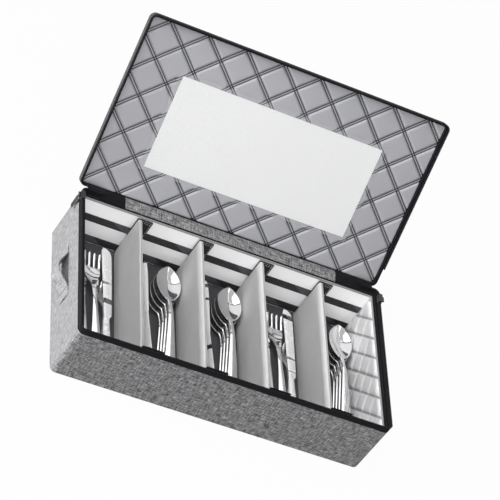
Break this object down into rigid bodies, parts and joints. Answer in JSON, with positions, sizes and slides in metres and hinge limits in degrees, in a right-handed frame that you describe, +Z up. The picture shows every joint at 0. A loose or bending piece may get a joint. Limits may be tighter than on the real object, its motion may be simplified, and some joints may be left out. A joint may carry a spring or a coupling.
{
  "type": "silverware chest",
  "caption": "Fabric-covered flatware chest with a zipped, quilted-lined lid on a fabric hinge, strap handles, lift-out dividers and cutlery in each bay.",
  "frame": {"origin": "middle of the underside of the tray", "axes": "+X to the right along the front, +Y back towards the lid hinge, +Z up"},
  "size_m": [0.502, 0.4036, 0.3126],
  "materials": {
    "woven_fabric": "melange weave",
    "dark_felt": "felt",
    "pale_lining": "smooth",
    "quilted_lining": "quilted, satin",
    "hook_tape": "hook-and-loop",
    "grey_piping": "binding",
    "black_tape": "woven tape",
    "zip_chain": "moulded coil",
    "clear_film": "clear",
    "white_card": "smooth",
    "zip_metal": "black",
    "divider_fabric": "smooth",
    "steel": "mirror polished"
  },
  "bodies": {
    "chest": {"shell_tray": "woven_fabric", "floor_pad": "dark_felt", "liner_back": "pale_lining", "liner_front": "pale_lining", "liner_left": "quilted_lining", "liner_right": "quilted_lining", "hook_strips_back": "hook_tape", "hook_strips_front": "hook_tape", "rim_piping": "grey_piping", "rim_binding": "black_tape", "body_zip_tape": "black_tape", "body_zip_chain": "zip_chain", "hinge_rim_strip": "woven_fabric", "handle_left_patches": "woven_fabric", "handle_right_patches": "woven_fabric"},
    "lid": {"lid_shell": "woven_fabric", "lid_lining": "quilted_lining", "lid_zip_tape": "black_tape", "lid_zip_chain": "zip_chain", "hinge_band": "woven_fabric", "hinge_gusset_left": "black_tape", "hinge_gusset_right": "black_tape", "lid_card_sleeve": "clear_film", "lid_card": "white_card"},
    "left_handle": {"handle_left_strap": "woven_fabric"},
    "right_handle": {"handle_right_strap": "woven_fabric"},
    "left_slider": {"zip_slider_left": "zip_metal"},
    "right_slider": {"zip_slider_right": "zip_metal"},
    "left_pull": {"zip_pull_left": "zip_metal"},
    "right_pull": {"zip_pull_right": "zip_metal"},
    "divider_1_body": {"divider_1": "divider_fabric", "divider_1_tabs": "hook_tape"},
    "divider_2_body": {"divider_2": "divider_fabric", "divider_2_tabs": "hook_tape"},
    "divider_3_body": {"divider_3": "divider_fabric", "divider_3_tabs": "hook_tape"},
    "divider_4_body": {"divider_4": "divider_fabric", "divider_4_tabs": "hook_tape"},
    "cutlery_1": {"bay1_forks": "steel", "bay1_knife": "steel"},
    "cutlery_2": {"bay2_spoons": "steel", "bay2_knife": "steel"},
    "cutlery_3": {"bay3_spoons": "steel", "bay3_knife": "steel"},
    "cutlery_4": {"bay4_forks": "steel", "bay4_knife": "steel"},
    "cutlery_5": {"bay5_spoons": "steel", "bay5_knife": "steel"}
  },
  "joints": [
    {"name": "lid_hinge", "type": "hinge", "parent": "chest", "child": "lid", "pos_m": [0, 0.1299, 0.0892], "axis": [-1, 0, 0], "range_deg": [-119, 0]},
    {"name": "left_handle_swing", "type": "hinge", "parent": "chest", "child": "left_handle", "pos_m": [-0.2364, 0.008, 0.057], "axis": [0, 1, 0], "range_deg": [0, 60]},
    {"name": "left_zip_run", "type": "slide", "parent": "chest", "child": "left_slider", "axis": [0, -1, 0], "range_m": [0, 0.215]},
    {"name": "left_pull_swing", "type": "hinge", "parent": "left_slider", "child": "left_pull", "pos_m": [-0.2392, 0.111, 0.096], "axis": [0, 1, 0], "range_deg": [0, 100]},
    {"name": "right_handle_swing", "type": "hinge", "parent": "chest", "child": "right_handle", "pos_m": [0.2364, 0.008, 0.057], "axis": [0, -1, 0], "range_deg": [0, 60]},
    {"name": "right_zip_run", "type": "slide", "parent": "chest", "child": "right_slider", "axis": [0, -1, 0], "range_m": [0, 0.215]},
    {"name": "right_pull_swing", "type": "hinge", "parent": "right_slider", "child": "right_pull", "pos_m": [0.2392, 0.111, 0.096], "axis": [0, -1, 0], "range_deg": [0, 100]},
    {"name": "divider_1_lift", "type": "slide", "parent": "chest", "child": "divider_1_body", "axis": [0, 0, 1], "range_m": [0, 0.1]},
    {"name": "divider_2_lift", "type": "slide", "parent": "chest", "child": "divider_2_body", "axis": [0, 0, 1], "range_m": [0, 0.1]},
    {"name": "divider_3_lift", "type": "slide", "parent": "chest", "child": "divider_3_body", "axis": [0, 0, 1], "range_m": [0, 0.1]},
    {"name": "divider_4_lift", "type": "slide", "parent": "chest", "child": "divider_4_body", "axis": [0, 0, 1], "range_m": [0, 0.1]},
    {"name": "cutlery_1_lift", "type": "slide", "parent": "chest", "child": "cutlery_1", "axis": [0, 0, 1], "range_m": [0, 0.12]},
    {"name": "cutlery_2_lift", "type": "slide", "parent": "chest", "child": "cutlery_2", "axis": [0, 0, 1], "range_m": [0, 0.12]},
    {"name": "cutlery_3_lift", "type": "slide", "parent": "chest", "child": "cutlery_3", "axis": [0, 0, 1], "range_m": [0, 0.12]},
    {"name": "cutlery_4_lift", "type": "slide", "parent": "chest", "child": "cutlery_4", "axis": [0, 0, 1], "range_m": [0, 0.12]},
    {"name": "cutlery_5_lift", "type": "slide", "parent": "chest", "child": "cutlery_5", "axis": [0, 0, 1], "range_m": [0, 0.12]}
  ]
}
